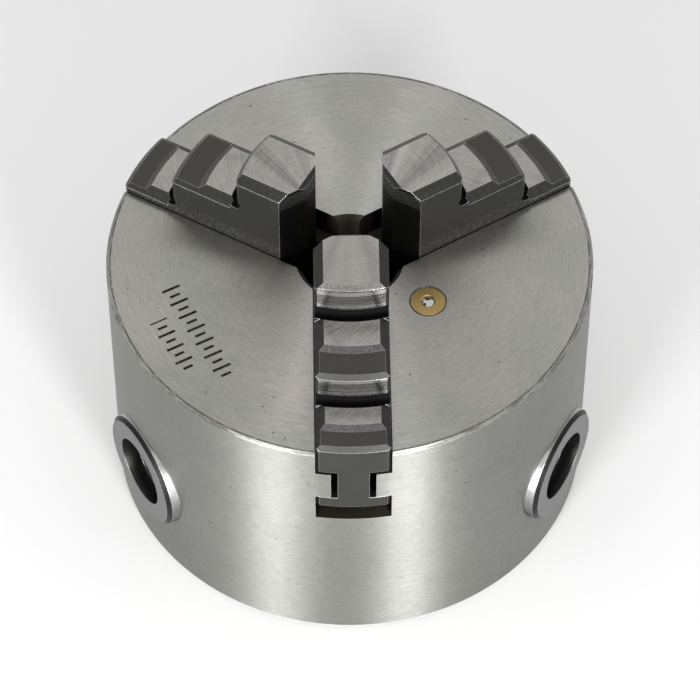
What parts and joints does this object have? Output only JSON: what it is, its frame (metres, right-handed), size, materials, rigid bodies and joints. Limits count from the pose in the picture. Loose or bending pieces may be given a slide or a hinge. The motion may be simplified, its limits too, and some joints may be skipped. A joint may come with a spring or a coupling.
{
  "type": "lathe chuck",
  "caption": "Self-centring scroll chuck: round ground body, stepped jaws sliding in radial T-slots, square-socket key pinions, spiral scroll, bolted rear cover and brass ball oiler.",
  "frame": {"origin": "centre of the rear mounting face, on the spindle axis", "axes": "+Z along the spindle axis from the rear face toward the jaws; jaw 1 slides along -Y and the second pinion points along +Y"},
  "size_m": [0.0804, 0.081, 0.066],
  "materials": {
    "body_iron": "finely turned and ground, bright",
    "cover_iron": "turned, oiled",
    "scroll_steel": "hardened and ground",
    "jaw_steel": "hardened, dark, ground on the clamping lands",
    "pinion_steel": "turned, satin",
    "screw_steel": "black oxide",
    "oiler_brass": "turned",
    "bearing_steel": "polished",
    "spring_steel": "drawn wire"
  },
  "bodies": {
    "housing": {"body": "body_iron", "back_cover": "cover_iron", "oiler_body": "oiler_brass", "oiler_spring": "spring_steel", "pinion_screw_1": "screw_steel", "pinion_screw_2": "screw_steel", "pinion_screw_3": "screw_steel", "cover_screw_1": "screw_steel", "cover_screw_2": "screw_steel", "cover_screw_3": "screw_steel"},
    "scroll": {"scroll_plate": "scroll_steel"},
    "jaw_1": {"jaw_1": "jaw_steel"},
    "jaw_2": {"jaw_2": "jaw_steel"},
    "jaw_3": {"jaw_3": "jaw_steel"},
    "pinion_1": {"pinion_1": "pinion_steel"},
    "pinion_2": {"pinion_2": "pinion_steel"},
    "pinion_3": {"pinion_3": "pinion_steel"},
    "oiler_valve": {"oiler_ball": "bearing_steel"}
  },
  "joints": [
    {"name": "scroll_spin", "type": "hinge", "parent": "housing", "child": "scroll", "pos_m": [0, 0, 0.0325], "axis": [0, 0, 1], "range_deg": [-270, 450]},
    {"name": "jaw_1_slide", "type": "slide", "parent": "housing", "child": "jaw_1", "axis": [0, -1, 0], "range_m": [-0.00625, 0.00375]},
    {"name": "jaw_2_slide", "type": "slide", "parent": "housing", "child": "jaw_2", "axis": [0.866, 0.5, 0], "range_m": [-0.00625, 0.00375]},
    {"name": "jaw_3_slide", "type": "slide", "parent": "housing", "child": "jaw_3", "axis": [-0.866, 0.5, 0], "range_m": [-0.00625, 0.00375]},
    {"name": "pinion_1_turn", "type": "hinge", "parent": "housing", "child": "pinion_1", "pos_m": [0.03031, -0.0175, 0.0185], "axis": [0.866, -0.5, 0], "range_deg": [-1620, 972]},
    {"name": "pinion_2_turn", "type": "hinge", "parent": "housing", "child": "pinion_2", "pos_m": [0, 0.035, 0.0185], "axis": [0, 1, 0], "range_deg": [-1620, 972]},
    {"name": "pinion_3_turn", "type": "hinge", "parent": "housing", "child": "pinion_3", "pos_m": [-0.03031, -0.0175, 0.0185], "axis": [-0.866, -0.5, 0], "range_deg": [-1620, 972]},
    {"name": "oiler_press", "type": "slide", "parent": "housing", "child": "oiler_valve", "axis": [0, 0, 1], "range_m": [-0.001, 0], "stiffness_N_per_m": 150, "springref_m": 0.002, "deforming": ["oiler_spring"]}
  ],
  "couplings": [
    {"joint": "jaw_1_slide", "follows": "scroll_spin", "m_per_rad": -0.00079577},
    {"joint": "jaw_2_slide", "follows": "scroll_spin", "m_per_rad": -0.00079577},
    {"joint": "jaw_3_slide", "follows": "scroll_spin", "m_per_rad": -0.00079577},
    {"joint": "pinion_1_turn", "follows": "scroll_spin", "ratio": -3.6},
    {"joint": "pinion_2_turn", "follows": "scroll_spin", "ratio": -3.6},
    {"joint": "pinion_3_turn", "follows": "scroll_spin", "ratio": -3.6}
  ]
}
